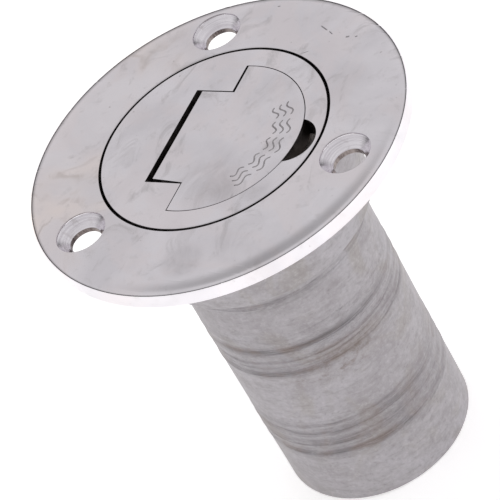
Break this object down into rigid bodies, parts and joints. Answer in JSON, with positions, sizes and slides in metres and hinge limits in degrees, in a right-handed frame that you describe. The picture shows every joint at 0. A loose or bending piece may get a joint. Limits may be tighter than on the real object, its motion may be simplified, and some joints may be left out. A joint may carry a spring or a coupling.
{
  "type": "deck fill cap",
  "caption": "Round flanged deck fill with a hose tail, a flush screw-in cap and a fold-up flip lever that turns it.",
  "frame": {"origin": "centre of the deck plane, where the flange's foot meets the deck", "axes": "+Z out of the deck along the fill pipe's axis, +X from the lever's hinge towards the finger notch, Y along the lever's hinge"},
  "size_m": [0.074, 0.074, 0.082],
  "materials": {
    "cast_stainless": "cast 316 stainless steel, mirror polished on the flange, matt and lightly stained on the neck and tail",
    "polished_stainless": "mirror polished 316 stainless steel",
    "pin_stainless": "drawn stainless wire and rod",
    "seal_rubber": "black nitrile rubber"
  },
  "bodies": {
    "body": {"fill_body": "cast_stainless"},
    "seal": {"cap_o_ring": "seal_rubber"},
    "cap": {"cap": "polished_stainless", "lever_pin": "pin_stainless", "chain_eye": "pin_stainless"},
    "lever": {"flip_lever": "polished_stainless"}
  },
  "joints": [
    {"name": "cap_lift", "type": "slide", "parent": "body", "child": "seal", "axis": [0, 0, 1], "range_m": [0, 0.009]},
    {"name": "cap_turn", "type": "hinge", "parent": "seal", "child": "cap", "pos_m": [0, 0, 0], "axis": [0, 0, 1], "range_deg": [0, 1080]},
    {"name": "lever_flip", "type": "hinge", "parent": "cap", "child": "lever", "pos_m": [-0.0062, 0, 0.0024], "axis": [0, -1, 0], "range_deg": [0, 90]}
  ],
  "couplings": [
    {"joint": "cap_lift", "follows": "cap_turn", "m_per_rad": 0.00047746}
  ]
}
